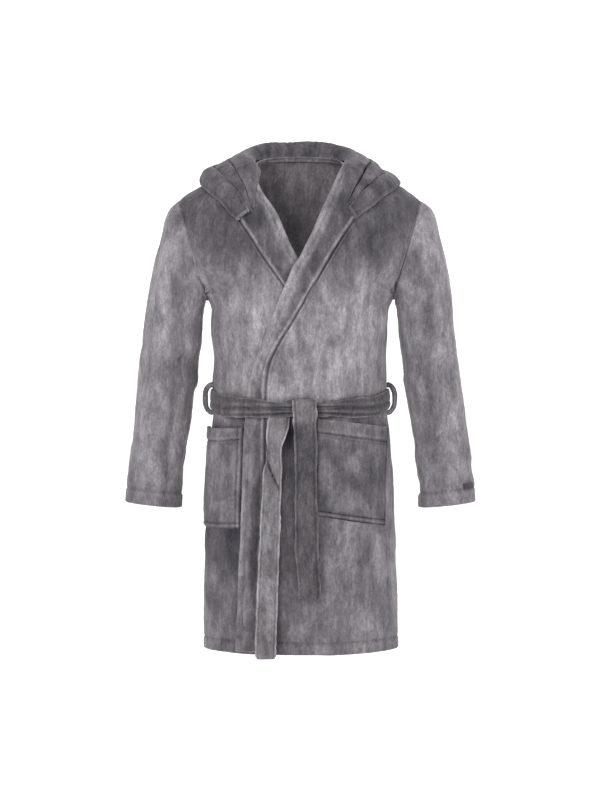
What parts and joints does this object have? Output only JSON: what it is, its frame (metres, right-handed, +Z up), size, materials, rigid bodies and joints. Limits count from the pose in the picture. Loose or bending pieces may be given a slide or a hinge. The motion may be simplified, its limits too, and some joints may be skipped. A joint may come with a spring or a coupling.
{
  "type": "hooded bathrobe",
  "caption": "Short hooded wrap bathrobe in plush fleece with wide front bands, patch pockets and a tied belt, as it hangs on a wearer.",
  "frame": {"origin": "middle of the neckline at shoulder height, where the wearer's shoulders or a hanger carry the robe", "axes": "+Z up, -Y is the front of the robe, +X is the wearer's left"},
  "size_m": [0.694, 0.3535, 1.0259],
  "materials": {
    "fleece": "matte",
    "band_fleece": "matte",
    "belt_fleece": "matte",
    "loop_braid": "matte",
    "tape": "matte",
    "woven_label": "satin",
    "care_satin": "satin"
  },
  "bodies": {
    "robe": {"back_panel": "fleece", "left_front_panel": "fleece", "right_front_panel": "fleece", "left_front_band": "band_fleece", "right_front_band": "band_fleece", "neck_tape": "tape", "left_pocket": "fleece", "right_pocket": "fleece", "belt_waistband": "belt_fleece", "belt_knot": "belt_fleece", "hood_left_band": "band_fleece", "hood_right_band": "band_fleece", "care_label": "care_satin"},
    "left_sleeve": {"left_sleeve": "fleece", "sleeve_label": "woven_label"},
    "right_sleeve": {"right_sleeve": "fleece"},
    "hood": {"hood_left_panel": "fleece", "hood_right_panel": "fleece", "hood_rear_band": "band_fleece"},
    "left_tail": {"belt_left_tail": "belt_fleece"},
    "right_tail": {"belt_right_tail": "belt_fleece"},
    "left_loop": {"left_belt_loop": "loop_braid"},
    "right_loop": {"right_belt_loop": "loop_braid"},
    "hanger": {"hanger_loop": "tape"}
  },
  "joints": [
    {"name": "left_sleeve_swing", "type": "hinge", "parent": "robe", "child": "left_sleeve", "pos_m": [0.241, 0, -0.063], "axis": [0, -1, 0], "range_deg": [0, 70]},
    {"name": "right_sleeve_swing", "type": "hinge", "parent": "robe", "child": "right_sleeve", "pos_m": [-0.241, 0, -0.063], "axis": [0, 1, 0], "range_deg": [0, 70]},
    {"name": "hood_lift", "type": "hinge", "parent": "robe", "child": "hood", "pos_m": [0, 0.092, 0.04], "axis": [1, 0, 0], "range_deg": [0, 45]},
    {"name": "left_tail_swing", "type": "hinge", "parent": "robe", "child": "left_tail", "pos_m": [0.011, -0.131, -0.5005], "axis": [-1, 0, 0], "range_deg": [0, 60]},
    {"name": "right_tail_swing", "type": "hinge", "parent": "robe", "child": "right_tail", "pos_m": [-0.0415, -0.13, -0.5005], "axis": [-1, 0, 0], "range_deg": [0, 60]},
    {"name": "left_loop_turn", "type": "hinge", "parent": "robe", "child": "left_loop", "pos_m": [0.179, 0, -0.46], "axis": [0, 0, 1], "range_deg": [-35, 35]},
    {"name": "right_loop_turn", "type": "hinge", "parent": "robe", "child": "right_loop", "pos_m": [-0.179, 0, -0.46], "axis": [0, 0, 1], "range_deg": [-35, 35]},
    {"name": "hanger_swing", "type": "hinge", "parent": "robe", "child": "hanger", "pos_m": [0, 0.109, 0.0278], "axis": [1, 0, 0], "range_deg": [0, 20]}
  ]
}
